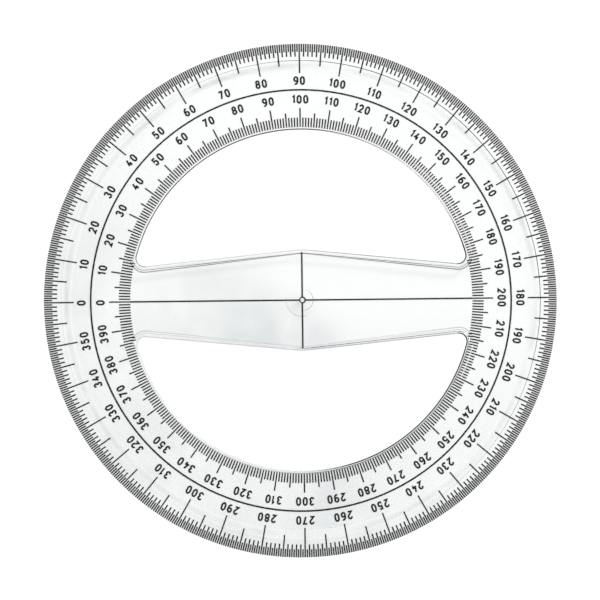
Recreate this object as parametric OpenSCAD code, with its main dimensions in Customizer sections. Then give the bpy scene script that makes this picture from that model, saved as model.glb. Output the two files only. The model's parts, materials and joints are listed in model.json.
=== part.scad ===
// Full circle protractor, 360 degrees and 400 gon
// One clear moulded plate with a bevelled rim, two windows and a centre bar.
// The graduations are black colour set flush in the underside, so they lie on the paper.
// Zero points along -X and the numbers run clockwise, seen from above.

/* [Plate] */
// Overall diameter
plate_d = 150; // [130:1:200]
// Thickness of the flat
plate_t = 2; // [1.7:0.1:4]
// Width of the bevel along the outer rim
rim_bevel_w = 5.1; // [2:0.1:7]
// Thickness left at the outer rim
rim_t = 0.8; // [0.6:0.1:1.2]
// Radius that breaks the upper corner of the rim
rim_round = 0.25; // [0.1:0.05:0.4]

/* [Windows] */
// Width of the ring, from the windows to the rim
ring_w = 25.2; // [24:0.1:30]
// Radius of the window corners beside the ring
corner_r = 2.3; // [1:0.1:4]
// Width of the bevel round each window, on the upper face
window_bevel_w = 1.8; // [0.6:0.1:2.5]
// Thickness left under the window bevel
window_land_t = 1.1; // [0.8:0.1:1.4]
// Width of the inking edge, the step under each window's outline
ink_edge_w = 1; // [0.3:0.1:1.2]
// Height of the inking edge above the paper
ink_edge_h = 0.3; // [0.2:0.05:0.5]

/* [Bar] */
// Width of the bar at its middle
bar_mid_w = 29.8; // [26:0.2:34]
// Width of the bar where it meets the ring
bar_end_w = 20; // [17:0.2:24]

/* [Centre hole] */
// Diameter of the hole for the centring pin
hole_d = 1.2; // [0.8:0.1:1.6]
// Diameter of the countersink that guides the pin
countersink_d = 1.8; // [1.7:0.1:2.6]
// Depth of the countersink
countersink_h = 0.3; // [0.1:0.05:0.5]
// Diameter of the spot face where the moulding gate was cut away
gate_d = 9.6; // [8:0.2:12]
// Depth of the spot face
gate_h = 0.12; // [0.05:0.01:0.2]
// Diameter of the deeper step in its middle
gate_step_d = 6.2; // [4:0.2:7]
// Depth of the step below the spot face
gate_step_h = 0.12; // [0.05:0.01:0.2]

/* [Degree scale] */
// Length of the half-degree lines
half_degree_len = 2.45; // [1.5:0.05:3.5]
// Length of the one-degree lines
degree_len = 3.9; // [3.6:0.1:5]
// Length of the five-degree lines
five_degree_len = 6.4; // [5.1:0.1:7.4]
// Length of the ten-degree lines
ten_degree_len = 8.6; // [7.5:0.1:9.4]
// Width of every line of this scale
degree_line_w = 0.38; // [0.15:0.01:0.4]
// Bare strip between the lines and the rim
rim_gap = 0.1; // [0.05:0.05:0.3]

/* [Gon scale] */
// Distance from the windows to the circle on which the gon lines start
gon_base_gap = 0.25; // [0.05:0.05:0.3]
// Bare strip between the inking edges and the gon lines beside the windows
gon_edge_gap = 0.1; // [0.05:0.05:0.8]
// Length of the one-gon lines
gon_len = 3.3; // [2.5:0.1:4.3]
// Length of the five-gon lines
five_gon_len = 4.65; // [4.4:0.05:5.6]
// Length of the ten-gon lines
ten_gon_len = 6.1; // [5.7:0.1:7]
// Width of every line of this scale
gon_line_w = 0.38; // [0.15:0.01:0.45]

/* [Dividing circle and index lines] */
// Room for the gon numbers between the ten-gon lines and the dividing circle
gon_number_band = 5.35; // [4:0.05:6]
// Width of the dividing circle
circle_line_w = 0.48; // [0.2:0.02:0.6]
// Width of the zero line and the right-angle line
index_line_w = 0.44; // [0.2:0.02:0.6]
// Bare strip between the ends of the right-angle line and the inking edges
right_angle_gap = 0.1; // [0.05:0.05:4]

/* [Colour fill] */
// Depth of the colour in the underside
fill_t = 0.05; // [0.03:0.01:0.1]
// Room round the lines in the sunk fields that hold the two scales
field_margin = 0.2; // [0.1:0.05:0.4]

/* [Hidden] */
$fn = 180;

// Lines in a full turn of each scale
HALF_DEGREES = 720;
GONS = 400;
// Flats that make up the rim's broken corner
ROUND_STEPS = 5;

plate_r = plate_d / 2;
window_r = plate_r - ring_w;
hole_r = hole_d / 2;
countersink_r = countersink_d / 2;
gate_floor = plate_t - gate_h - gate_step_h;

// A cut runs this far past the face that it leaves
past = 1;

// The bar's edges fall away from the middle to the ring
bar_end_x = sqrt(window_r ^ 2 - (bar_end_w / 2) ^ 2);
bar_slope = atan2((bar_mid_w - bar_end_w) / 2, bar_end_x);
// Distance from the centre to the straight line of an edge
bar_edge_d = bar_mid_w / 2 * cos(bar_slope);
bar_edge_normal = [sin(bar_slope), cos(bar_slope)];
bar_edge_along = [cos(bar_slope), -sin(bar_slope)];

// Middle of a window corner's arc, which touches both the ring and the bar's edge
corner_off = bar_edge_d + corner_r;
corner_run = sqrt((window_r - corner_r) ^ 2 - corner_off ^ 2);
corner_c = bar_edge_normal * corner_off + bar_edge_along * corner_run;
corner_out = corner_c / norm(corner_c);
// The pieces that make up a window's outline run this far into each other
corner_lap = 0.02;

gon_base_r = window_r + gon_base_gap;
// Beside the windows the gon lines stop short of the inking edge, and on the bar they reach their circle
gon_window_r = window_r + ink_edge_w + gon_edge_gap;
// Angle at which that circle runs into the inking edge of a window corner, and the last line before it
corner_angle = atan2(corner_c.y, corner_c.x) - acos(min(1,
    (gon_base_r ^ 2 + (window_r - corner_r) ^ 2 - (corner_r + ink_edge_w) ^ 2)
    / (2 * gon_base_r * (window_r - corner_r))));
gon_bar_angle = corner_angle - asin((gon_edge_gap + gon_line_w / 2) / gon_base_r);
gon_field_r = gon_base_r + ten_gon_len + field_margin;
degree_field_r = plate_r - ten_degree_len - field_margin;
circle_r = gon_base_r + ten_gon_len + gon_number_band;
// Outer ends of the degree lines, just inside the rim
degree_outer_r = plate_r - rim_gap;
// Ends of the right-angle line, short of the inking edge at the middle of the bar
right_angle_r = (bar_edge_d - ink_edge_w) / cos(bar_slope) - right_angle_gap;

clear = [0.93, 0.95, 0.95, 0.45];
black = [0.07, 0.07, 0.08];

// The modules below make a window over one range of heights, from z0 to z1.
// Its outline is grown evenly all round, by grow0 at the bottom and by grow1 at the top.

// Everything on the window's side of the bar's edge, as far along it as the corner's arc

module beside_bar(z0, z1, grow0, grow1) {
    reach = plate_d;
    rotate([0, 0, -bar_slope])
        translate([-reach, 0, 0])
            rotate([90, 0, 90])
                linear_extrude(reach + corner_run + corner_lap)
                    polygon([
                        [bar_edge_d - grow0, z0], [reach, z0],
                        [reach, z1], [bar_edge_d - grow1, z1],
                    ]);
}

// The wedge from the end of that edge round to where the corner's arc meets the ring

module beyond_corner(z0, z1) {
    reach = plate_d;
    translate([0, 0, z0])
        linear_extrude(z1 - z0)
            polygon([
                corner_c, corner_c + corner_out * reach,
                corner_c + (corner_out + bar_edge_normal) * reach, corner_c + bar_edge_normal * reach,
            ]);
}

// The rounded corner between the bar's edge and the ring

module corner_round(z0, z1, grow0, grow1) {
    translate([corner_c.x, corner_c.y, z0])
        cylinder(h = z1 - z0, r1 = corner_r + grow0 + corner_lap, r2 = corner_r + grow1 + corner_lap);
}

module window(z0, z1, grow0, grow1) {
    intersection() {
        translate([0, 0, z0])
            cylinder(h = z1 - z0, r1 = window_r + grow0, r2 = window_r + grow1);
        for (side = [0, 1])
            mirror([side, 0, 0]) {
                beside_bar(z0, z1, grow0, grow1);
                beyond_corner(z0, z1);
            }
    }
    for (side = [0, 1]) mirror([side, 0, 0]) corner_round(z0, z1, grow0, grow1);
}

// Straight wall, inking edge under it and bevel above it, all from the same outline

module window_cut() {
    bevel_h = plate_t - window_land_t;
    window(-past, plate_t + past, 0, 0);
    window(-past, ink_edge_h, ink_edge_w, ink_edge_w);
    window(window_land_t, plate_t + past, 0, window_bevel_w * (bevel_h + past) / bevel_h);
}

// Solid of revolution with the rim's bevel and its broken corner

module disc() {
    slope = atan2(plate_t - rim_t, rim_bevel_w);
    rotate_extrude()
        polygon(concat(
            [[0, 0], [plate_r, 0]],
            [for (i = [0 : ROUND_STEPS])
                let (a = (90 - slope) * i / ROUND_STEPS)
                [plate_r - rim_round + rim_round * cos(a), rim_t - rim_round + rim_round * sin(a)]],
            [[plate_r - rim_bevel_w, plate_t], [0, plate_t]]
        ));
}

// Pin hole with its countersink, in the two steps of the spot face

module centre_cut() {
    translate([0, 0, -past]) cylinder(h = plate_t + 2 * past, r = hole_r);
    translate([0, 0, gate_floor - countersink_h])
        cylinder(h = countersink_h, r1 = hole_r, r2 = countersink_r);
    translate([0, 0, plate_t - gate_h]) cylinder(h = past, d = gate_d);
    translate([0, 0, gate_floor]) cylinder(h = past, d = gate_step_d);
}

// Flat ring from the underside up to the depth of the colour

module field(inner_r, outer_r, below) {
    translate([0, 0, -below])
        difference() {
            cylinder(h = fill_t + below, r = outer_r);
            translate([0, 0, -past]) cylinder(h = fill_t + below + 2 * past, r = inner_r);
        }
}

module clear_plate() {
    color(clear)
        difference() {
            disc();
            window_cut();
            mirror([0, 1, 0]) window_cut();
            centre_cut();
            field(degree_field_r, plate_r + past, past);
            field(gon_base_r - field_margin, gon_field_r, past);
            circle_shape(past);
            zero_shape(past);
            right_angle_shape(past);
        }
}

// One line of a scale, from its inner to its outer end

module line(angle, inner_r, outer_r, width) {
    rotate([0, 0, 180 - angle])
        translate([inner_r, -width / 2, 0])
            cube([outer_r - inner_r, width, fill_t]);
}

module degree_line(i, length) {
    line(i * 360 / HALF_DEGREES, plate_r - length, degree_outer_r, degree_line_w);
}

module gon_line(i, length) {
    angle = i * 360 / GONS;
    from_bar = min(angle % 180, 180 - angle % 180);
    inner_r = from_bar < gon_bar_angle ? gon_base_r : gon_window_r;
    line(angle, inner_r, gon_base_r + length, gon_line_w);
}

module half_degree_lines() {
    color(black) for (i = [1 : 2 : HALF_DEGREES]) degree_line(i, half_degree_len);
}

module degree_lines() {
    color(black) for (i = [2 : 2 : HALF_DEGREES]) if (i % 10 != 0) degree_line(i, degree_len);
}

module five_degree_lines() {
    color(black) for (i = [10 : 20 : HALF_DEGREES]) degree_line(i, five_degree_len);
}

module ten_degree_lines() {
    color(black) for (i = [20 : 20 : HALF_DEGREES]) degree_line(i, ten_degree_len);
}

module gon_lines() {
    color(black) for (i = [1 : GONS]) if (i % 5 != 0) gon_line(i, gon_len);
}

module five_gon_lines() {
    color(black) for (i = [5 : 10 : GONS]) gon_line(i, five_gon_len);
}

module ten_gon_lines() {
    color(black) for (i = [10 : 10 : GONS]) gon_line(i, ten_gon_len);
}

// The circle and index lines fill grooves of their own width, cut by the same shapes

module circle_shape(below) {
    field(circle_r - circle_line_w / 2, circle_r + circle_line_w / 2, below);
}

module half_line(outer_r, below) {
    translate([countersink_r, -index_line_w / 2, -below])
        cube([outer_r - countersink_r, index_line_w, fill_t + below]);
}

module zero_shape(below) {
    for (a = [0, 180]) rotate([0, 0, a]) half_line(gon_base_r, below);
}

module right_angle_shape(below) {
    for (a = [90, 270]) rotate([0, 0, a]) half_line(right_angle_r, below);
}

module dividing_circle() {
    color(black) circle_shape(0);
}

module zero_line() {
    color(black) zero_shape(0);
}

module right_angle_line() {
    color(black) right_angle_shape(0);
}

clear_plate();
half_degree_lines();
degree_lines();
five_degree_lines();
ten_degree_lines();
gon_lines();
five_gon_lines();
ten_gon_lines();
dividing_circle();
zero_line();
right_angle_line();
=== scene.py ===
"""Looks of a full circle protractor: a clear moulded acrylic plate with black graduations and numbers.

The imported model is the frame: +Z up, origin at the centre of the circle on the underside, -X through
zero, numbers running clockwise. The object's sizes are in millimetres and turned to metres when a mesh is
made; the board and the lamps are in metres.
"""

from __future__ import annotations

import json
import logging
import math
from dataclasses import dataclass, field, replace
from enum import Enum
from functools import partial
from typing import Any, Callable

import bmesh
import bpy
from bpy.types import ID, Material, Node, NodeSocket, NodeTree, Object
from mathutils import Matrix, Vector
from mathutils.geometry import delaunay_2d_cdt

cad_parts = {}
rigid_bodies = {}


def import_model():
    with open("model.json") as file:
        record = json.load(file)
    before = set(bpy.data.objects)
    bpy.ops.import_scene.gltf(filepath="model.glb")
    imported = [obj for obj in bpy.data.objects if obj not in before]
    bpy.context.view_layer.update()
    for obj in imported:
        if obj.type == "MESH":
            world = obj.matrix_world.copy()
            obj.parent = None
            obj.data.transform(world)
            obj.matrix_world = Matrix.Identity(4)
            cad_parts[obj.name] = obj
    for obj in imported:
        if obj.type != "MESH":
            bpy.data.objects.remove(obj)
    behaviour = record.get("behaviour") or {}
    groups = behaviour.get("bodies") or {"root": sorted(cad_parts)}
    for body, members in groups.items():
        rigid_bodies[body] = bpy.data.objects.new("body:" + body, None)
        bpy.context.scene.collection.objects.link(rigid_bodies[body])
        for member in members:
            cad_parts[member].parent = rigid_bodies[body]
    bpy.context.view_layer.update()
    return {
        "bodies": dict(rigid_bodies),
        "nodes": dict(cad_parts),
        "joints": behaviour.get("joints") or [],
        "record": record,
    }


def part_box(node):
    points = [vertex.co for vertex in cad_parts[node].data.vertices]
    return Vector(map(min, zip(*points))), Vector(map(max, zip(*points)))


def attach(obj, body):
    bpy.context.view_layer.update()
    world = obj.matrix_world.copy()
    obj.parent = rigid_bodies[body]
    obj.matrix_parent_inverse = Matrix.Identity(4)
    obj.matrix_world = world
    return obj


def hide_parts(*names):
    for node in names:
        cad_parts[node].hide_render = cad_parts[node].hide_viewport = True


LOG = logging.getLogger("protractor")

MM = 0.001
ROOT_BODY = "root"
FULL_TURN = 2 * math.pi
# Kind of result of delaunay_2d_cdt that has only the triangles within the outlines
INSIDE = 1
# Points nearer together than this, in millimetres, are one point in the plate's flat faces and in a figure
CAP_WELD = 1e-6
FIGURE_WELD = 1e-4

Point = tuple[float, float]
Triangle = tuple[int, int, int]
Inputs = dict[int | str, Any]


class Slot(Enum):
    """Material slots of the record."""

    CLEAR = "clear_acrylic"
    BLACK = "black_fill"


class Side(Enum):
    """The two windows, as the sign of their Y."""

    FAR = 1
    NEAR = -1


class Face(Enum):
    """Finishes of the plate's faces, as the numbers of its material slots."""

    POLISHED = 0
    # Rim crease, with a grey line of painted shade
    BUFFED = 1
    # Bevel along the bar, with a line of painted shade
    SCRAPED = 2
    # Crease of the windows' bevel, with a painted highlight
    SCUFFED = 3
    # Window walls, with painted shade
    CUT = 4
    # Tops of the window walls, with painted shade
    WALL_TOP = 5
    # Arrises along the bar, with a line of painted shade
    EASED = 6
    # Inner corner of the inking edge, with a line of painted shade
    STEPPED = 7
    # Pin hole's wall and countersink, painted near black as its shade
    DRILLED = 8
    # Steps of the spot face, each with a line of painted shade on one side
    SPOT_OUTER = 9
    SPOT_INNER = 10
    # Painted shadow band on the flat inside the rim crease
    RUBBED = 11
    # Tops of the far window's walls beyond its right end, with darker painted shade
    CHATTERED = 12


def linear(hex_colour: str) -> tuple[float, float, float, float]:
    """Turns an sRGB colour to the linear one that a shader takes.

    Args:
        hex_colour: Six hex digits after a hash sign.

    Returns:
        Linear red, green and blue, and an alpha of 1.
    """
    channels = [int(hex_colour[i:i + 2], 16) / 255 for i in (1, 3, 5)]
    red, green, blue = (c / 12.92 if c <= 0.04045 else ((c + 0.055) / 1.055) ** 2.4 for c in channels)
    return red, green, blue, 1.0


def add_node(tree: NodeTree, kind: str, inputs: Inputs | None = None, **settings: Any) -> Node:
    """Adds a shader node with its settings, and links or sets its inputs.

    Args:
        tree: Node tree that the node goes into.
        kind: Node type, such as ShaderNodeMath.
        inputs: What goes into each input, by its name or number: another node's output socket, or a value.
        settings: The node's own properties.

    Returns:
        The new node.
    """
    node = tree.nodes.new(kind)
    for name, value in settings.items():
        setattr(node, name, value)
    for key, given in (inputs or {}).items():
        if isinstance(given, NodeSocket):
            tree.links.new(given, node.inputs[key])
        else:
            node.inputs[key].default_value = given
    return node


def new_material(name: str) -> Material:
    """Makes a material that has no nodes yet.

    Args:
        name: Name of the material.

    Returns:
        The material, ready for its nodes.
    """
    material = bpy.data.materials.new(name)
    material.use_nodes = True
    material.node_tree.nodes.clear()
    return material


def new_object(name: str, data: ID) -> Object:
    """Makes an object and links it to the scene.

    Args:
        name: Name of the object.
        data: Its mesh, lamp or camera.

    Returns:
        The new object.
    """
    made = bpy.data.objects.new(name, data)
    bpy.context.scene.collection.objects.link(made)
    return made


# Finishes


@dataclass(frozen=True)
class Acrylic:
    """Clear acrylic, moulded in a polished tool: water-clear and glossy, under a film of handling and
    painted shade.
    """

    name: str = "acrylic_injection_moulded_film_and_shade"
    # White, since 2 mm of this plastic takes hardly any of the light
    tint: str = "#FFFFFF"
    # Colour where the film lies: on the flat faces a film of handling with painted shade, on the edges
    # painted shade
    film: str = "#E6E8E8"
    # Values of the noise at which the film and painted shade begin and are full
    film_noise: tuple[float, float] = (0.25, 0.42)
    # Direction from the centre, in degrees, in which the film and painted shade are full, or none where
    # they lie all round, and the angles beside it at which they begin to fade and have gone
    heading: float | None = None
    fade: tuple[float, float] = (0.0, 90.0)
    # Radii between which the film and painted shade lie, softly bounded, or none where they lie on the
    # whole face
    band_mm: tuple[float, float] | None = None
    # What each face leaves of the light that falls through it onto the paper
    shade: str = "#FDFEFE"
    # Share of the light that passes through it; the rest is scattered matt in the tint's colour
    clarity: float = 1.0
    # Typical refractive index of acrylic
    ior: float = 1.491
    # A polished tool leaves a mirror gloss, which handling dulls in patches of this size
    roughness: float = 0.015
    haze_roughness: float = 0.05
    haze_patch_mm: float = 34.0
    # Values of the patches' noise at which the dulling begins and is full
    haze_noise: tuple[float, float] = (0.45, 0.75)
    # The film and painted shade lie in the same patches, with twisted smears of this size across them
    smear_mm: float = 14.0
    smear_twist: float = 0.6
    # Which of the noise's patterns the patches and smears follow
    pattern: float = 1.7
    # Slow waves in the faces, from the flow and shrinkage of the plastic
    flow_wave_mm: float = 22.0
    flow_height_mm: float = 0.0008

    def facing(self, tree: NodeTree, place: NodeSocket) -> NodeSocket:
        """Works out how near each point lies to the heading, seen from the centre.

        Args:
            tree: The material's nodes.
            place: Point on the plate.

        Returns:
            1 in the heading, falling to 0 where the film and painted shade have gone.
        """
        turn = math.radians(self.heading)
        heading = (math.cos(turn), math.sin(turn), 0)
        outwards = add_node(
            tree, "ShaderNodeVectorMath", {0: place}, operation="NORMALIZE"
        ).outputs["Vector"]
        along = add_node(
            tree, "ShaderNodeVectorMath", {0: outwards, 1: heading}, operation="DOT_PRODUCT"
        ).outputs["Value"]
        full, gone = (math.cos(math.radians(angle)) for angle in self.fade)
        return add_node(
            tree, "ShaderNodeMapRange", {"Value": along, "From Min": gone, "From Max": full},
            interpolation_type="SMOOTHSTEP",
        ).outputs["Result"]

    def banded(self, tree: NodeTree, place: NodeSocket) -> NodeSocket:
        """Works out how near each point lies to the middle of the band.

        Args:
            tree: The material's nodes.
            place: Point on the plate.

        Returns:
            1 in the band's middle, falling to 0 at its edges.
        """
        inner, outer = (radius * MM for radius in self.band_mm)
        middle = 0.5
        radius = add_node(tree, "ShaderNodeVectorMath", {0: place}, operation="LENGTH").outputs["Value"]
        share = add_node(
            tree, "ShaderNodeMapRange", {"Value": radius, "From Min": inner, "From Max": outer}
        ).outputs["Result"]
        hump = add_node(tree, "ShaderNodeMath", {0: share, 1: middle}, operation="PINGPONG")
        return add_node(
            tree, "ShaderNodeMapRange",
            {"Value": hump.outputs["Value"], "From Min": 0.0, "From Max": middle},
            interpolation_type="SMOOTHSTEP",
        ).outputs["Result"]

    def filmed(self, tree: NodeTree, place: NodeSocket, patches: NodeSocket) -> NodeSocket:
        """Works out how much film and painted shade lie at each point.

        Args:
            tree: The material's nodes.
            place: Point on the plate.
            patches: Noise of the patches that handling leaves.

        Returns:
            0 where the face is clean, up to 1 where the film and painted shade are full.
        """
        smears = add_node(
            tree, "ShaderNodeTexNoise",
            {
                "Vector": place, "W": self.pattern, "Scale": 1 / (self.smear_mm * MM), "Detail": 3.0,
                "Distortion": self.smear_twist,
            },
            noise_dimensions="4D",
        ).outputs["Fac"]
        noise = add_node(tree, "ShaderNodeMath", {0: patches, 1: smears}, operation="MULTIPLY")
        begins, full = self.film_noise
        amount = add_node(
            tree, "ShaderNodeMapRange",
            {"Value": noise.outputs["Value"], "From Min": begins, "From Max": full},
        ).outputs["Result"]
        limits = []
        if self.heading is not None:
            limits.append(self.facing(tree, place))
        if self.band_mm is not None:
            limits.append(self.banded(tree, place))
        for limit in limits:
            limited = add_node(tree, "ShaderNodeMath", {0: amount, 1: limit}, operation="MULTIPLY")
            amount = limited.outputs["Value"]
        return amount

    def lit_through(self, tree: NodeTree, body: NodeSocket) -> NodeSocket:
        """Lets the light on its way to the paper pass straight through the plastic.

        Args:
            tree: The material's nodes.
            body: Shader of the plastic as the eye sees it.

        Returns:
            The shader for both.
        """
        through = add_node(
            tree, "ShaderNodeBsdfTransparent", {"Color": linear(self.shade)}
        ).outputs["BSDF"]
        path = add_node(tree, "ShaderNodeLightPath").outputs
        rays = {0: path["Is Shadow Ray"], 1: path["Is Diffuse Ray"]}
        lighting = add_node(tree, "ShaderNodeMath", rays, operation="MAXIMUM").outputs["Value"]
        return add_node(tree, "ShaderNodeMixShader", {0: lighting, 1: body, 2: through}).outputs["Shader"]

    def build(self) -> Material:
        """Makes the material.

        Returns:
            A glass-like material that lets light straight through to the paper.
        """
        material = new_material(self.name)
        tree = material.node_tree
        place = add_node(tree, "ShaderNodeTexCoord").outputs["Object"]
        patches = add_node(
            tree, "ShaderNodeTexNoise",
            {"Vector": place, "W": self.pattern, "Scale": 1 / (self.haze_patch_mm * MM), "Detail": 2.0},
            noise_dimensions="4D",
        ).outputs["Fac"]
        begins, full = self.haze_noise
        roughness = add_node(
            tree, "ShaderNodeMapRange",
            {
                "Value": patches, "From Min": begins, "From Max": full,
                "To Min": self.roughness, "To Max": self.haze_roughness,
            },
        ).outputs["Result"]
        tone = add_node(tree, "ShaderNodeValToRGB", {"Fac": self.filmed(tree, place, patches)})
        tone.color_ramp.elements[0].color = linear(self.tint)
        tone.color_ramp.elements[1].color = linear(self.film)
        waves = add_node(
            tree, "ShaderNodeTexNoise",
            {"Vector": place, "Scale": 1 / (self.flow_wave_mm * MM), "Detail": 1.0},
        ).outputs["Fac"]
        bump = add_node(
            tree, "ShaderNodeBump",
            {"Height": waves, "Distance": self.flow_height_mm * MM, "Strength": 1.0},
        ).outputs["Normal"]
        body = add_node(
            tree, "ShaderNodeBsdfPrincipled",
            {
                "Base Color": tone.outputs["Color"], "Roughness": roughness, "Normal": bump,
                "IOR": self.ior, "Transmission Weight": self.clarity,
            },
        ).outputs["BSDF"]
        add_node(tree, "ShaderNodeOutputMaterial", {"Surface": self.lit_through(tree, body)})
        return material


# Ranges of the noise over which the film and painted shade cover nearly all of a face: lightly mottled,
# faintly mottled, and even
MOTTLED = (-0.8, 0.3)
FAINTLY_MOTTLED = (-0.8, 0.2)
EVEN = (-0.9, 0.1)

# The flat faces: a mottled film of handling together with painted shade, greyer toward the lower left
FLAT_FACE_FILM_AND_SHADE = Acrylic(film_noise=(0.08, 0.4), heading=236, fade=(20, 125))

# Flat just inside the rim crease: a painted shadow, a soft grey band in uneven patches, where the bevel
# bends the light away
PAINTED_SHADOW_BAND = Acrylic(
    name="acrylic_painted_shadow_band", film="#C9CBCB", film_noise=(0.12, 0.38), band_mm=(67.0, 69.9), pattern=2.9,
    roughness=0.04, haze_roughness=0.12,
)

# Rim crease, rounded by the polishing wheel: a soft grey line of painted shade, which is strong only
# toward the upper right
RIM_CREASE_PAINTED_SHADE = Acrylic(
    name="acrylic_rim_crease_painted_shade", tint="#E6E7E7", film="#101112", film_noise=FAINTLY_MOTTLED, heading=38,
    fade=(25, 105), shade="#B4B5B5", roughness=0.12, haze_roughness=0.25,
)

# Bevels along the bar: a line of painted shade, dark on the far side and light grey on the near one
BEVEL_PAINTED_SHADE = Acrylic(
    name="acrylic_bevel_painted_shade", tint="#C4C6C7", film="#141617", film_noise=MOTTLED, heading=90,
    fade=(64, 112), shade="#C4C5C5", roughness=0.2, haze_roughness=0.35,
)

# Crease of the windows' bevel near the ring's right end: half matt white, a painted highlight that cuts
# the lines below it
CREASE_PAINTED_HIGHLIGHT = Acrylic(
    name="acrylic_crease_painted_highlight", film="#F4F5F5", clarity=0.5, roughness=0.2, haze_roughness=0.35,
)

# Window walls, satin grey, with near black painted shade toward the lower right
WALL_PAINTED_SHADE = Acrylic(
    name="acrylic_milled_satin_painted_shade", tint="#9A9DA0", film="#101112", film_noise=MOTTLED, heading=-28,
    fade=(40, 75), shade="#F8F9F9", clarity=0.7, roughness=0.25, haze_roughness=0.4,
)

# Rounding on top of the walls: near black painted shade on the same side, light grey on the other
WALL_TOP_PAINTED_SHADE = replace(
    WALL_PAINTED_SHADE, name="acrylic_arris_painted_shade", tint="#D2D4D5", film="#030404", film_noise=EVEN, fade=(46, 64),
    clarity=0.6,
)

# The same rounding round the rest of the far window: a dark grey line of painted shade, strongest toward
# the upper left
FAR_ARRIS_PAINTED_SHADE = replace(
    WALL_TOP_PAINTED_SHADE, name="acrylic_far_arris_painted_shade", film="#1E2022", film_noise=FAINTLY_MOTTLED, heading=122,
    fade=(30, 75),
)

# The same rounding along the bar: a thin grey line of painted shade, heavier on the right
BAR_ARRIS_PAINTED_SHADE = Acrylic(
    name="acrylic_bar_arris_painted_shade", tint="#B8BBBD", film="#6E7174", film_noise=MOTTLED, heading=0,
    fade=(40, 110), shade="#FAFAFA", roughness=0.15, haze_roughness=0.3,
)

# Inner corner of the near inking edge, rounded by wear, with a grey line of painted shade toward the lower
# right only
STEP_PAINTED_SHADE = Acrylic(
    name="acrylic_step_painted_shade", film="#5C5F62", film_noise=MOTTLED, heading=-50, fade=(25, 55),
    shade="#F4F5F5", clarity=0.5, roughness=0.1, haze_roughness=0.2,
)

# The pin hole's wall and countersink: painted near black, the shade of the hole as it shows from above
HOLE_PAINTED_SHADE = Acrylic(
    name="acrylic_hole_painted_shade", tint="#141516", film="#0A0B0B", shade="#DCDCDC", roughness=0.35,
    haze_roughness=0.5,
)

# Steps of the spot face round the hole, each with a dark line of painted shade on one side: the outer
# toward the lower left, the inner toward the right
OUTER_STEP_PAINTED_SHADE = Acrylic(
    name="acrylic_spot_face_outer_painted_shade", tint="#F4F5F5", film="#2E3032", film_noise=MOTTLED, heading=232,
    fade=(20, 75), shade="#F0F1F1", roughness=0.12, haze_roughness=0.25,
)
INNER_STEP_PAINTED_SHADE = replace(OUTER_STEP_PAINTED_SHADE, name="acrylic_spot_face_inner_painted_shade", heading=-12, fade=(50, 110))

FINISHES: dict[Face, Acrylic] = {
    Face.POLISHED: FLAT_FACE_FILM_AND_SHADE,
    Face.BUFFED: RIM_CREASE_PAINTED_SHADE,
    Face.SCRAPED: BEVEL_PAINTED_SHADE,
    Face.SCUFFED: CREASE_PAINTED_HIGHLIGHT,
    Face.CUT: WALL_PAINTED_SHADE,
    Face.WALL_TOP: WALL_TOP_PAINTED_SHADE,
    Face.EASED: BAR_ARRIS_PAINTED_SHADE,
    Face.STEPPED: STEP_PAINTED_SHADE,
    Face.DRILLED: HOLE_PAINTED_SHADE,
    Face.SPOT_OUTER: OUTER_STEP_PAINTED_SHADE,
    Face.SPOT_INNER: INNER_STEP_PAINTED_SHADE,
    Face.RUBBED: PAINTED_SHADOW_BAND,
    Face.CHATTERED: FAR_ARRIS_PAINTED_SHADE,
}


@dataclass(frozen=True)
class StampedBlack:
    """Black marking lacquer, stamped hot into the acrylic: matt, dense, with a slightly uneven tone."""

    name: str = "black_lacquer_hot_stamped"
    # Dense black where the colour is full, charcoal where it is thinner
    full: str = "#0C0C0D"
    thin: str = "#1C1C1E"
    # Typical refractive index of a lacquer binder
    ior: float = 1.5
    roughness: float = 0.55
    # The colour thins in spots of about the width of a line
    spot_mm: float = 0.4
    # Values of the spots' noise at which it begins to thin and is thinnest
    thin_noise: tuple[float, float] = (0.45, 0.8)
    # Grain of the dried colour
    grain_mm: float = 0.06
    grain_height_mm: float = 0.004

    def build(self) -> Material:
        """Makes the material.

        Returns:
            A matt black with small changes of tone and a fine grain.
        """
        material = new_material(self.name)
        tree = material.node_tree
        place = add_node(tree, "ShaderNodeTexCoord").outputs["Object"]
        spots = add_node(
            tree, "ShaderNodeTexNoise", {"Vector": place, "Scale": 1 / (self.spot_mm * MM), "Detail": 3.0}
        ).outputs["Fac"]
        tone = add_node(tree, "ShaderNodeValToRGB", {"Fac": spots})
        stops = tone.color_ramp.elements
        for stop, position, colour in zip(stops, self.thin_noise, (self.full, self.thin)):
            stop.position = position
            stop.color = linear(colour)
        grain = add_node(
            tree, "ShaderNodeTexNoise", {"Vector": place, "Scale": 1 / (self.grain_mm * MM), "Detail": 2.0}
        ).outputs["Fac"]
        bump = add_node(
            tree, "ShaderNodeBump",
            {"Height": grain, "Distance": self.grain_height_mm * MM, "Strength": 1.0},
        ).outputs["Normal"]
        lacquer = add_node(
            tree, "ShaderNodeBsdfPrincipled",
            {
                "Base Color": tone.outputs["Color"], "Normal": bump,
                "Roughness": self.roughness, "IOR": self.ior,
            },
        ).outputs["BSDF"]
        add_node(tree, "ShaderNodeOutputMaterial", {"Surface": lacquer})
        return material


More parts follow.
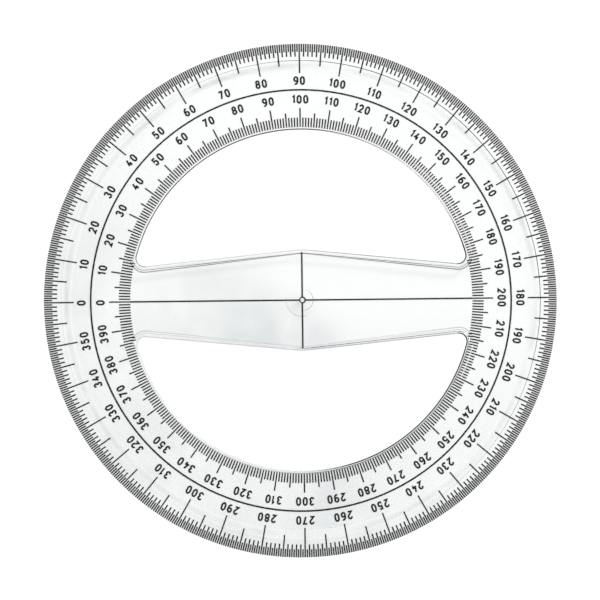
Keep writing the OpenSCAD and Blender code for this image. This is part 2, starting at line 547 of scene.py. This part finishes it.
@dataclass(frozen=True)
class WhiteBoard:
    """Matt white studio board: it takes the object's shadow and reads as pure white round it."""

    name: str = "white_board_matt"
    colour: str = "#E8E8E8"
    # Light added for the camera and for what shows in or through the plastic, and its colour
    lift: float = 0.28
    glow: str = "#FFFFFF"

    def build(self) -> Material:
        """Makes the material.

        Returns:
            A matt white that is lifted to pure white where the camera sees it, and keeps shadows.
        """
        material = new_material(self.name)
        tree = material.node_tree
        path = add_node(tree, "ShaderNodeLightPath").outputs
        seen = path["Is Camera Ray"]
        for kind in ("Is Glossy Ray", "Is Transmission Ray"):
            either = add_node(tree, "ShaderNodeMath", {0: seen, 1: path[kind]}, operation="MAXIMUM")
            seen = either.outputs["Value"]
        board = add_node(tree, "ShaderNodeBsdfDiffuse", {"Color": linear(self.colour)}).outputs["BSDF"]
        glow = add_node(
            tree, "ShaderNodeEmission", {"Color": linear(self.glow), "Strength": self.lift}
        ).outputs["Emission"]
        lifted = add_node(tree, "ShaderNodeAddShader", {0: board, 1: glow}).outputs["Shader"]
        mixed = add_node(tree, "ShaderNodeMixShader", {0: seen, 1: board, 2: lifted}).outputs["Shader"]
        add_node(tree, "ShaderNodeOutputMaterial", {"Surface": mixed})
        return material


# Outlines and profiles, in millimetres


def arc(centre: Point, radii: Point, start: float, end: float, steps: int) -> list[Point]:
    """Points along an arc of an ellipse.

    Args:
        centre: Middle of the ellipse.
        radii: Its half widths along X and Y.
        start: First angle in degrees, anticlockwise from +X.
        end: Last angle in degrees; smaller than start for a clockwise arc.
        steps: Number of pieces.

    Returns:
        The points, both ends included.
    """
    angles = [math.radians(start + (end - start) * i / steps) for i in range(steps + 1)]
    return [(centre[0] + radii[0] * math.cos(a), centre[1] + radii[1] * math.sin(a)) for a in angles]


@dataclass(frozen=True)
class Corner:
    """Corner of a profile: its radius, the finish of its rounding and that of the stretch after it."""

    reach: float
    height: float
    radius: float = 0.0
    edge: Face = Face.POLISHED
    after: Face = Face.POLISHED

    def place(self) -> Vector:
        """The corner's point."""
        return Vector((self.reach, self.height))


def rounded(corners: list[Corner], steps: int) -> list[tuple[float, float, Face]]:
    """Rounds the inner corners of an open profile.

    Args:
        corners: The corners; the two ends keep their place.
        steps: Number of pieces in each rounding.

    Returns:
        The profile's points, each with the finish of the stretch after it.
    """
    points = [(*corners[0].place(), corners[0].after)]
    for before, here, after in zip(corners, corners[1:], corners[2:]):
        middle = here.place()
        if here.radius == 0:
            points.append((*middle, here.after))
            continue
        back = (before.place() - middle).normalized()
        ahead = (after.place() - middle).normalized()
        half = back.angle(ahead) / 2
        reach = here.radius / math.tan(half)
        centre = middle + (back + ahead).normalized() * here.radius / math.sin(half)
        first = middle + back * reach - centre
        last = middle + ahead * reach - centre
        turn = first.angle_signed(last)
        for i in range(steps + 1):
            share = i / steps
            weight = [math.sin((1 - share) * abs(turn)), math.sin(share * abs(turn))]
            spoke = (first * weight[0] + last * weight[1]) / math.sin(abs(turn))
            points.append((*(centre + spoke), here.edge if i < steps else here.after))
    points.append((*corners[-1].place(), corners[-1].after))
    return points


@dataclass(frozen=True)
class WindowOutline:
    """Outline of one window: ring, two round corners and the bar's edges, moved out by an offset."""

    side: Side
    window_r: float
    corner_r: float
    bar_mid_w: float
    bar_end_w: float
    # Offsets beyond this one shrink to a share of their width towards the bar's middle
    taper_from: float
    taper: float = 0.12
    # The polisher leaves the bar's blunt middle corner slightly round
    middle_r: float = 18.0
    ring_steps: int = 300
    corner_steps: int = 72
    middle_steps: int = 10
    # Pieces of the ring's arc, from its right end on, along which the bevel's crease carries the painted
    # highlight
    far_scuffed_steps: int = 70
    near_scuffed_steps: int = 22
    # Pieces of the far window's arc, from its right end on, along which the wall's top has the same
    # painted shade as the near one's
    torn_steps: int = 55
    # Pieces of each corner, from the ring on, that the bevel's painted shade doesn't reach
    smooth_steps: int = 20

    def finish(self, planned: Face, quad: int) -> Face:
        """Finish of one quad round the outline.

        Painted shade lies only on the bar's bevels, and its arrises get a painted shade line of their own.
        Beyond its right end the far window's wall top has a painted shade of its own, and only the near
        one's inking edge has one.

        Args:
            planned: Finish that the profile has there.
            quad: Number of the quad along the outline.

        Returns:
            The finish that the quad gets.
        """
        far = self.side is Side.FAR
        bar = self.ring_steps + self.corner_steps
        # The bar's edge is a straight stretch on each side of the rounding in its middle
        bar_end = bar + self.middle_steps + 2
        # Quads along the bar whose bevel carries painted shade
        shaded_quads = range(
            self.ring_steps + self.smooth_steps, bar_end + self.corner_steps - self.smooth_steps
        )
        # Quads from the ring's right end along which the crease carries the painted highlight
        highlight_steps = self.far_scuffed_steps if far else self.near_scuffed_steps
        if planned is Face.WALL_TOP and bar <= quad < bar_end:
            return Face.EASED
        if planned is Face.WALL_TOP and far and self.torn_steps <= quad < bar:
            return Face.CHATTERED
        if planned is Face.STEPPED and far:
            return Face.POLISHED
        if planned is Face.SCUFFED and quad >= highlight_steps:
            planned = Face.SCRAPED
        if planned is Face.SCRAPED and quad not in shaded_quads:
            return Face.POLISHED
        return planned

    def points(self, grow: float) -> list[Point]:
        """Points of the outline, anticlockwise for the far window.

        Args:
            grow: How far the outline is moved out into the plate.

        Returns:
            The closed outline's points, the same number for every offset.
        """
        end_x = math.sqrt(self.window_r ** 2 - (self.bar_end_w / 2) ** 2)
        slope = math.atan2((self.bar_mid_w - self.bar_end_w) / 2, end_x)
        edge_d = self.bar_mid_w / 2 * math.cos(slope)
        normal = Vector((math.sin(slope), math.cos(slope)))
        along = Vector((math.cos(slope), -math.sin(slope)))
        off = edge_d + self.corner_r
        run = math.sqrt((self.window_r - self.corner_r) ** 2 - off ** 2)
        corner = normal * off + along * run
        turn = math.degrees(math.atan2(corner.y, corner.x))
        tilt = math.degrees(slope)
        ring_r = self.window_r + grow
        corner_radii = (self.corner_r + grow, self.corner_r + grow)
        spare = max(0.0, grow - self.taper_from) * (1 - self.taper)
        middle_r = self.middle_r - grow + spare
        middle_y = (edge_d - self.middle_r) / math.cos(slope)
        loop = arc((0, 0), (ring_r, ring_r), turn, 180 - turn, self.ring_steps)
        loop += arc((-corner.x, corner.y), corner_radii, 180 - turn, 270 + tilt, self.corner_steps)[1:]
        loop += arc((0, middle_y), (middle_r, middle_r), 90 + tilt, 90 - tilt, self.middle_steps)
        loop += arc((corner.x, corner.y), corner_radii, -90 - tilt, turn, self.corner_steps)[:-1]
        return [(x, y * self.side.value) for x, y in loop]


def circle(radius: float, steps: int) -> list[Point]:
    """Points of a circle round the origin, as a closed loop."""
    return arc((0, 0), (radius, radius), 0, 360, steps)[:-1]


@dataclass
class MeshDraft:
    """Vertices and faces that grow piece by piece before they become one mesh."""

    vertices: list[tuple[float, float, float]] = field(default_factory=list)
    faces: list[tuple[int, ...]] = field(default_factory=list)
    # Finish of each face, as the number of its material slot
    finishes: list[int] = field(default_factory=list)

    def add_loop(self, loop: list[Point], height: float) -> list[int]:
        """Adds the points of a flat loop.

        Args:
            loop: Its points.
            height: Their Z.

        Returns:
            The numbers of the new vertices.
        """
        first = len(self.vertices)
        self.vertices += [(x, y, height) for x, y in loop]
        return list(range(first, len(self.vertices)))

    def add_face(self, face: tuple[int, ...], finish: Face = Face.POLISHED) -> None:
        """Adds one face with its finish."""
        self.faces.append(face)
        self.finishes.append(finish.value)

    def add_strip(self, lower: list[int], upper: list[int], finish_at: Callable[[int], Face]) -> None:
        """Joins two closed loops of the same length by a band of quads.

        Args:
            lower: Vertices of one loop.
            upper: Vertices of the other one.
            finish_at: Gives the finish of each quad by its number.
        """
        for i in range(len(lower)):
            after = (i + 1) % len(lower)
            self.add_face((lower[i], lower[after], upper[after], upper[i]), finish_at(i))

    def sweep(
        self, loop_at: Callable[[float], list[Point]], profile: list[Corner], steps: int,
        finish_at: Callable[[Face, int], Face] = lambda planned, quad: planned,
    ) -> tuple[list[int], list[int]]:
        """Sweeps a profile round a family of loops.

        Args:
            loop_at: Gives the loop for a profile point's reach, an offset or a radius.
            profile: Corners of the profile.
            steps: Number of pieces in each rounding.
            finish_at: Gives the finish of each quad by the profile's finish and the quad's number.

        Returns:
            The vertices of the first and of the last loop.
        """
        points = rounded(profile, steps)
        loops = [self.add_loop(loop_at(reach), height) for reach, height, _ in points]
        for lower, upper, (_, _, finish) in zip(loops, loops[1:], points):
            self.add_strip(lower, upper, partial(finish_at, finish))
        return loops[0], loops[-1]

    def add_cap(self, border: list[int], holes: list[list[int]]) -> None:
        """Fills a flat face that has holes.

        Args:
            border: Vertices of the outer loop.
            holes: Vertices of each inner loop.
        """
        used = border + [v for hole in holes for v in hole]
        flat = [Vector(self.vertices[v][:2]) for v in used]
        edges = []
        first = 0
        for loop in [border, *holes]:
            edges += [(first + i, first + (i + 1) % len(loop)) for i in range(len(loop))]
            first += len(loop)
        corners, _, triangles, origin, _, _ = delaunay_2d_cdt(flat, edges, [], INSIDE, CAP_WELD)
        outlines = [[self.vertices[v][:2] for v in hole] for hole in holes]
        for triangle in triangles:
            middle = sum((corners[i] for i in triangle), Vector((0, 0))) / 3
            if not any(is_inside(middle, outline) for outline in outlines):
                self.add_face(tuple(used[origin[i][0]] for i in triangle))

    def to_object(self, name: str) -> Object:
        """Makes the object, in metres.

        Args:
            name: Name of the piece.

        Returns:
            The new object, linked to the scene.
        """
        mesh = bpy.data.meshes.new(name)
        mesh.from_pydata([tuple(c * MM for c in v) for v in self.vertices], [], self.faces)
        mesh.polygons.foreach_set("material_index", self.finishes)
        mesh.validate()
        return new_object(name, mesh)


def is_inside(point: Vector, outline: list[Point]) -> bool:
    """Tells whether a point lies within a closed outline.

    Args:
        point: The point.
        outline: The outline's points.

    Returns:
        True if a line from the point to the right crosses the outline an odd number of times.
    """
    inside = False
    x0, y0 = outline[-1]
    for x1, y1 in outline:
        if (y0 > point.y) != (y1 > point.y) and point.x < x0 + (x1 - x0) * (point.y - y0) / (y1 - y0):
            inside = not inside
        x0, y0 = x1, y1
    return inside


def face_outwards(piece: Object, crease_degrees: float) -> None:
    """Turns a closed mesh's faces outwards, and shades its bands of quads smooth up to a crease angle.

    Args:
        piece: Object with the mesh.
        crease_degrees: Edges that bend more than this stay sharp.
    """
    shape = bmesh.new()
    shape.from_mesh(piece.data)
    bmesh.ops.recalc_face_normals(shape, faces=shape.faces)
    shape.to_mesh(piece.data)
    shape.free()
    piece.data.set_sharp_from_angle(angle=math.radians(crease_degrees))
    piece.data.polygons.foreach_set("use_smooth", [len(p.vertices) == 4 for p in piece.data.polygons])


def settle(piece: Object, materials: list[Material]) -> None:
    """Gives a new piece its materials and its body.

    Args:
        piece: The piece.
        materials: Its materials, in the order of its finishes.
    """
    for material in materials:
        piece.data.materials.append(material)
    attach(piece, ROOT_BODY)


# The plate


@dataclass(frozen=True)
class ClearPlate:
    """Ring, bar, rim, windows and pin hole as one clear moulding with softly broken edges."""

    plate_r: float
    plate_t: float
    # The underside stays this far above the paper, so that the stamped colour's face shows there
    lift: float = 0.01
    rim_bevel_w: float = 5.1
    rim_t: float = 0.8
    rim_round: float = 0.25
    ring_w: float = 25.2
    corner_r: float = 2.3
    window_bevel_w: float = 1.8
    window_land_t: float = 1.1
    # The painted shadow band reaches from the rim crease in to this radius
    rubbed_r: float = 66.9
    # The bevel carries painted shade along this line, and beyond it narrows towards the bar's middle
    scraped_line: tuple[float, float] = (1.08, 1.34)
    ink_edge_w: float = 1.0
    ink_edge_h: float = 0.3
    bar_mid_w: float = 29.8
    bar_end_w: float = 20.0
    hole_r: float = 0.6
    countersink_r: float = 0.9
    countersink_h: float = 0.3
    # The hole's near black painted shade reaches round the countersink up to here
    burr_r: float = 1.02
    spot_outer_r: float = 4.8
    spot_outer_h: float = 0.12
    spot_inner_r: float = 3.1
    spot_inner_h: float = 0.12
    # Radii that polishing leaves at the creases of the bevels, on top of the windows' walls, at the near
    # inking edge's inner corner, at the steps and edges of the hole and at all other edges
    rim_crease_r: float = 1.0
    window_crease_r: float = 0.9
    wall_top_r: float = 0.58
    step_r: float = 0.25
    hole_edge_r: float = 0.054
    edge_r: float = 0.06
    round_steps: int = 5
    rim_steps: int = 720
    hole_steps: int = 192
    crease_degrees: float = 1.9

    def rim_profile(self) -> list[Corner]:
        """Radius and height along the rim, from the underside to the flat.

        Returns:
            The profile's corners.
        """
        crease = self.plate_r - self.rim_bevel_w
        return [
            Corner(self.plate_r - 2 * self.edge_r, self.lift),
            Corner(self.plate_r, self.lift, self.edge_r),
            Corner(self.plate_r, self.rim_t, self.rim_round),
            Corner(crease, self.plate_t, self.rim_crease_r, Face.BUFFED, Face.RUBBED),
            Corner(self.rubbed_r, self.plate_t),
        ]

    def window_profile(self, side: Side) -> list[Corner]:
        """Offset and height along the wall of one window, from the underside to the flat.

        Args:
            side: Which window; the inner corner of the near one's inking edge is worn.

        Returns:
            The profile's corners.
        """
        rise = (self.plate_t - self.window_land_t) / self.window_bevel_w
        start, end = self.scraped_line
        step_r = self.step_r if side is Side.NEAR else self.edge_r
        return [
            Corner(self.ink_edge_w + 2 * self.edge_r, self.lift),
            Corner(self.ink_edge_w, self.lift, self.edge_r, Face.STEPPED, Face.STEPPED),
            Corner(self.ink_edge_w, self.ink_edge_h, step_r, Face.STEPPED),
            Corner(0, self.ink_edge_h, self.edge_r, Face.CUT, Face.CUT),
            Corner(0, self.window_land_t, self.wall_top_r, Face.WALL_TOP),
            Corner(start, self.window_land_t + rise * start, after=Face.SCRAPED),
            Corner(end, self.window_land_t + rise * end),
            Corner(self.window_bevel_w, self.plate_t, self.window_crease_r, Face.SCUFFED),
            Corner(self.window_bevel_w + self.window_crease_r, self.plate_t),
        ]

    def hole_profile(self) -> list[Corner]:
        """Radius and height from the underside up the pin hole and over the spot face to the flat.

        Returns:
            The profile's corners.
        """
        step = self.plate_t - self.spot_outer_h
        floor = step - self.spot_inner_h
        soft = self.hole_edge_r
        return [
            Corner(self.hole_r + 2 * soft, self.lift),
            Corner(self.hole_r, self.lift, soft, Face.DRILLED, Face.DRILLED),
            Corner(self.hole_r, floor - self.countersink_h, soft, Face.DRILLED, Face.DRILLED),
            Corner(self.countersink_r, floor, soft, Face.DRILLED, Face.DRILLED),
            Corner(self.burr_r, floor),
            Corner(self.spot_inner_r, floor, soft, Face.SPOT_INNER, Face.SPOT_INNER),
            Corner(self.spot_inner_r, step, soft, Face.SPOT_INNER),
            Corner(self.spot_outer_r, step, soft, Face.SPOT_OUTER, Face.SPOT_OUTER),
            Corner(self.spot_outer_r, self.plate_t, soft, Face.SPOT_OUTER),
            Corner(self.spot_outer_r + 2 * soft, self.plate_t),
        ]

    def outline(self, side: Side) -> WindowOutline:
        """The outline of one window, from the plate's sizes."""
        return WindowOutline(
            side, self.plate_r - self.ring_w, self.corner_r, self.bar_mid_w, self.bar_end_w,
            self.scraped_line[1],
        )

    def build(self, materials: list[Material]) -> Object:
        """Makes the plate in place of its plain solid.

        Args:
            materials: Clear plastic in each of its finishes.

        Returns:
            The finished piece.
        """
        draft = MeshDraft()
        steps = self.round_steps
        rim_low, rim_high = draft.sweep(lambda r: circle(r, self.rim_steps), self.rim_profile(), steps)
        hole_low, hole_high = draft.sweep(lambda r: circle(r, self.hole_steps), self.hole_profile(), steps)
        outlines = [self.outline(side) for side in Side]
        windows = [draft.sweep(o.points, self.window_profile(o.side), steps, o.finish) for o in outlines]
        draft.add_cap(rim_low, [hole_low] + [low for low, _ in windows])
        draft.add_cap(rim_high, [hole_high] + [high for _, high in windows])
        piece = draft.to_object("moulded_plate")
        face_outwards(piece, self.crease_degrees)
        settle(piece, materials)
        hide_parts("clear_plate")
        return piece


# The stamped scales


@dataclass(frozen=True)
class StampedLines:
    """The lines of both scales, the dividing circle and the index lines, as the frame has them."""

    nodes: tuple[str, ...] = (
        "half_degree_lines", "degree_lines", "five_degree_lines", "ten_degree_lines",
        "gon_lines", "five_gon_lines", "ten_gon_lines",
        "dividing_circle", "zero_line", "right_angle_line",
    )

    def dress(self, frame: dict[str, Any], material: Material) -> None:
        """Gives the lines their colour.

        Args:
            frame: The loaded frame.
            material: Black colour.
        """
        for name in self.nodes:
            piece = frame["nodes"][name]
            piece.data.materials.clear()
            piece.data.materials.append(material)
            LOG.info("%s: %d faces dressed", name, len(piece.data.polygons))


@dataclass(frozen=True)
class Numerals:
    """Plain drafting figures: centre lines of even width."""

    height: float = 2.56
    width: float = 1.5
    stroke: float = 0.5
    curve_steps: int = 16
    # Least cosine at a bend, so that a sharp one doesn't run out into a long point
    bend_limit: float = 0.5

    def strokes(self, digit: str) -> list[list[Point]]:
        """Centre lines of one figure, whose proportions are shares of their half width and their height.

        Args:
            digit: The figure.

        Returns:
            Its strokes, in millimetres, round x = 0 and up from y = 0.
        """
        half = (self.width - self.stroke) / 2
        high = self.height - self.stroke
        steps = self.curve_steps
        match digit:
            case "0":
                end = 0.36 * high
                loop = arc((0, high - end), (half, end), 0, 180, steps)
                loop += arc((0, end), (half, end), 180, 360, steps)
                return [loop + loop[:1]]
            case "1":
                return [[(-0.85 * half, high - 0.82 * half), (0, high), (0, 0)]]
            case "2":
                top = 0.29 * high
                return [arc((0, high - top), (half, top), 172, -38, steps) + [(-half, 0), (half, 0)]]
            case "3":
                top = 0.245 * high
                low = (high - 2 * top) / 2
                left = -0.04 * half
                return [
                    arc((left, high - top), (0.86 * half, top), 165, -90, steps),
                    arc((left, low), (half, low), 90, -165, steps),
                ]
            case "4":
                bar = 0.3 * high
                stem = 0.3 * half
                return [
                    [(0.12 * half, high), (-half, bar), (half, bar)],
                    [(stem, bar + 0.22 * high), (stem, 0)],
                ]
            case "5":
                bowl = 0.315 * high
                return [
                    [(0.85 * half, high), (-0.72 * half, high), (-0.86 * half, 0.5 * high)]
                    + arc((-0.04 * half, bowl), (half, bowl), 140, -160, steps),
                ]
            case "6":
                bowl = 0.29 * high
                loop = arc((0, bowl), (half, bowl), 0, 360, 2 * steps)
                tail = arc((0.12 * half, 0.5 * high), (1.12 * half, 0.5 * high), 195, 62, steps)
                return [loop, tail]
            case "7":
                return [[(-half, high), (half, high), (-0.25 * half, 0)]]
            case "8":
                top = 0.235 * high
                low = (high - 2 * top) / 2
                return [
                    arc((0, high - top), (0.86 * half, top), 0, 360, 2 * steps),
                    arc((0, low), (half, low), 0, 360, 2 * steps),
                ]
            case _:
                return [[(-x, high - y) for x, y in stroke] for stroke in self.strokes("6")]

    def ribbon(self, line: list[Point]) -> list[list[Point]]:
        """Quads of even width along a centre line.

        Args:
            line: The centre line.

        Returns:
            Four points for each piece of the line.
        """
        points = [Vector(p) for p in line]
        closed = (points[0] - points[-1]).length < FIGURE_WELD
        ahead = [(b - a).normalized() for a, b in zip(points, points[1:])]
        sides = []
        for i in range(len(points)):
            before = ahead[i - 1] if i > 0 or closed else ahead[0]
            after = ahead[i] if i < len(ahead) else (ahead[0] if closed else ahead[-1])
            across = Vector((-(before + after).y, (before + after).x)).normalized()
            stretch = 1 / max(self.bend_limit, across.dot(Vector((-after.y, after.x))))
            sides.append(across * self.stroke / 2 * stretch)
        return [
            [tuple(points[i] + sides[i]), tuple(points[i + 1] + sides[i + 1]),
             tuple(points[i + 1] - sides[i + 1]), tuple(points[i] - sides[i])]
            for i in range(len(ahead))
        ]

    def shape(self, digit: str) -> tuple[list[Point], list[Triangle]]:
        """The flat shape of one figure, with its strokes melted into one.

        Args:
            digit: The figure.

        Returns:
            Corner points and the triangles between them.
        """
        quads = [quad for line in self.strokes(digit) for quad in self.ribbon(line)]
        corners = [Vector((x, y + self.stroke / 2)) for quad in quads for x, y in quad]
        faces = []
        for i in range(len(quads)):
            a, b, c, d = (corners[4 * i + k] for k in range(4))
            turned = (b - a).cross(c - a) + (c - a).cross(d - a) < 0
            order = range(3, -1, -1) if turned else range(4)
            faces.append([4 * i + k for k in order])
        points, _, triangles, _, _, quads_under = delaunay_2d_cdt(corners, [], faces, INSIDE, FIGURE_WELD)
        inked = [tuple(t) for t, under in zip(triangles, quads_under) if under]
        return [tuple(p) for p in points], inked


@dataclass(frozen=True)
class NumberRow:
    """A ring of numbers, one at each ten of a scale, with their tops outwards."""

    name: str
    in_full_turn: int
    # Radius of the middle of the figures
    radius: float
    # How far the numbers stand beside their lines, clockwise, and those that start with a 1
    shift: float
    one_shift: float
    # Spacing of two figures, and of a 1, which is narrower and has its stem to the right
    pitch: float = 1.94
    one_pitch: float = 1.36
    one_stem: float = 0.88
    # Depth of the colour
    depth: float = 0.05
    step: int = 10
    crease_degrees: float = 30.0

    def places(self, text: str) -> list[tuple[str, float]]:
        """Sets the figures of one number side by side, centred.

        Args:
            text: The number.

        Returns:
            Each figure with the position of its middle, or of its stem for a 1.
        """
        one = (self.one_pitch, self.one_stem)
        other = (self.pitch, self.pitch / 2)
        spans = [one if figure == "1" else other for figure in text]
        start = (self.one_shift if text[0] == "1" else self.shift) - sum(span for span, _ in spans) / 2
        placed = []
        for figure, (span, middle) in zip(text, spans):
            placed.append((figure, start + middle))
            start += span
        return placed

    def build(self, numerals: Numerals, material: Material) -> Object:
        """Makes all numbers of the row as one piece.

        Args:
            numerals: Form of the figures.
            material: Black colour.

        Returns:
            The finished piece.
        """
        shapes = {digit: numerals.shape(digit) for digit in "0123456789"}
        draft = MeshDraft()
        for number in range(0, self.in_full_turn, self.step):
            angle = FULL_TURN * number / self.in_full_turn
            turn = Matrix.Rotation(math.pi / 2 - angle, 2)
            for figure, shift in self.places(str(number)):
                points, triangles = shapes[figure]
                base = self.radius - numerals.height / 2
                placed = [turn @ Vector((x + shift, y + base)) for x, y in points]
                self.add_solid(draft, [tuple(p) for p in placed], triangles)
        piece = draft.to_object(self.name)
        face_outwards(piece, self.crease_degrees)
        settle(piece, [material])
        return piece

    def add_solid(self, draft: MeshDraft, points: list[Point], triangles: list[Triangle]) -> None:
        """Adds one figure as a closed solid.

        Args:
            draft: Mesh that it goes into.
            points: Corners of the flat figure.
            triangles: Its triangles.
        """
        low = draft.add_loop(points, 0.0)
        high = draft.add_loop(points, self.depth)
        walls: dict[tuple[int, int], None] = {}
        for a, b, c in triangles:
            draft.add_face((high[a], high[b], high[c]))
            draft.add_face((low[c], low[b], low[a]))
            for edge in ((a, b), (b, c), (c, a)):
                if edge[::-1] in walls:
                    del walls[edge[::-1]]
                else:
                    walls[edge] = None
        for a, b in walls:
            draft.add_face((low[a], low[b], high[b], high[a]))


# The studio


@dataclass(frozen=True)
class Lamp:
    """A soft square lamp aimed at the object."""

    name: str
    # Where it stands and how wide it is, in metres
    place: tuple[float, float, float]
    size: float
    watts: float

    def build(self) -> Object:
        """Makes the lamp.

        Returns:
            The lamp's object.
        """
        light = bpy.data.lights.new(self.name, "AREA")
        light.size = self.size
        light.energy = self.watts
        lamp = new_object(self.name, light)
        lamp.location = self.place
        lamp.rotation_euler = (-Vector(self.place)).to_track_quat("-Z", "Y").to_euler()
        # The plastic doesn't mirror it, since its glare would hide a stretch of the rim from some sides
        lamp.visible_glossy = False
        return lamp


@dataclass(frozen=True)
class Camera:
    """The photograph's camera: 0.61 m above the plate, a little to its left, almost straight down."""

    # What it looks at, in millimetres
    target_mm: tuple[float, float, float] = (-0.62, 0.03, 0.0)
    distance_mm: float = 609.3
    # Tilts of the view from straight down, and its turn about its own axis, in degrees
    tilt_x: float = 0.97
    tilt_y: float = -3.60
    roll: float = -0.68
    # Width of the view at that distance, 600 px at 3.4226 px per mm
    view_w_mm: float = 175.3
    sensor_mm: float = 36.0
    clip_start_m: float = 0.01

    def build(self) -> Object:
        """Makes the camera.

        Returns:
            The camera, set as the scene's own.
        """
        data = bpy.data.cameras.new("camera")
        data.sensor_width = self.sensor_mm
        data.lens = self.sensor_mm * self.distance_mm / self.view_w_mm
        data.clip_start = self.clip_start_m
        side = math.sin(math.radians(self.tilt_y))
        fore = -math.sin(math.radians(self.tilt_x))
        away = Vector((side, fore, math.sqrt(1 - side ** 2 - fore ** 2)))
        right = Vector((0, 1, 0)).cross(away).normalized()
        up = away.cross(right)
        axes = Matrix((right, up, away)).transposed()
        spin = Matrix.Rotation(math.radians(self.roll), 3, "Z")
        camera = new_object("camera", data)
        camera.matrix_world = Matrix.LocRotScale(
            (Vector(self.target_mm) + away * self.distance_mm) * MM, (axes @ spin).to_quaternion(), None
        )
        bpy.context.scene.camera = camera
        return camera


@dataclass(frozen=True)
class Studio:
    """Pale board, white surroundings and soft lamps."""

    floor_m: float = 8.0
    # The board lies this far below the object's underside
    floor_drop_mm: float = 0.02
    surround: str = "#FFFFFF"
    # The ceiling over the camera is dark, so that the faces mirror nothing bright over the black lines:
    # its tone, and the sines of the heights at which the white walls begin to fade and end
    ceiling_tone: float = 0.1
    ceiling: tuple[float, float] = (0.5, 0.77)
    # Small soft boxes: the key from the far right, and a weaker fill from the left
    lamps: tuple[Lamp, ...] = (
        Lamp("key_lamp", (1.47, 1.32, 0.97), size=0.4, watts=39.0),
        Lamp("fill_lamp", (-1.74, 0.43, 0.88), size=0.35, watts=15.0),
    )

    def build_floor(self, material: Material) -> Object:
        """Lays the board.

        Args:
            material: White board.

        Returns:
            The floor's object.
        """
        half = self.floor_m / 2
        mesh = bpy.data.meshes.new("floor")
        height = -self.floor_drop_mm * MM
        corners = [(x * half, y * half, height) for x, y in ((-1, -1), (1, -1), (1, 1), (-1, 1))]
        mesh.from_pydata(corners, [], [(0, 1, 2, 3)])
        floor = new_object("floor", mesh)
        floor.data.materials.append(material)
        return floor

    def build_world(self) -> None:
        """Surrounds the object with white walls and a dark ceiling."""
        world = bpy.data.worlds.new("white_surround")
        bpy.context.scene.world = world
        world.use_nodes = True
        tree = world.node_tree
        tree.nodes.clear()
        direction = add_node(tree, "ShaderNodeTexCoord").outputs["Generated"]
        height = add_node(tree, "ShaderNodeSeparateXYZ", {"Vector": direction}).outputs["Z"]
        begins, ends = self.ceiling
        strength = add_node(
            tree, "ShaderNodeMapRange",
            {
                "Value": height, "From Min": begins, "From Max": ends,
                "To Min": 1.0, "To Max": self.ceiling_tone,
            },
            interpolation_type="SMOOTHSTEP",
        ).outputs["Result"]
        sky = add_node(
            tree, "ShaderNodeBackground", {"Strength": strength, "Color": linear(self.surround)}
        ).outputs["Background"]
        add_node(tree, "ShaderNodeOutputWorld", {"Surface": sky})

    def build(self) -> None:
        """Makes floor, surroundings, lamps and camera, and sets plain colours for the picture."""
        self.build_floor(WhiteBoard().build())
        self.build_world()
        for lamp in self.lamps:
            lamp.build()
        Camera().build()
        bpy.context.scene.view_settings.view_transform = "Standard"


def main() -> None:
    """Builds the object and its studio in order."""
    logging.basicConfig(level=logging.INFO, format="%(name)s: %(message)s")
    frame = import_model()
    _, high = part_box("clear_plate")

    clear = [FINISHES[face].build() for face in Face]
    black = StampedBlack().build()

    plate = ClearPlate(plate_r=high.x / MM, plate_t=high.z / MM).build(clear)
    LOG.info("plate: %d faces", len(plate.data.polygons))

    StampedLines().dress(frame, black)

    numerals = Numerals()
    rows = (
        NumberRow("degree_numbers", in_full_turn=360, radius=64.2, shift=-0.16, one_shift=-0.16),
        NumberRow("gon_numbers", in_full_turn=400, radius=58.7, shift=-0.17, one_shift=0.07),
    )
    for row in rows:
        piece = row.build(numerals, black)
        LOG.info("%s: %d faces", piece.name, len(piece.data.polygons))

    Studio().build()
    LOG.info("studio ready")


if __name__ == "__main__":
    main()
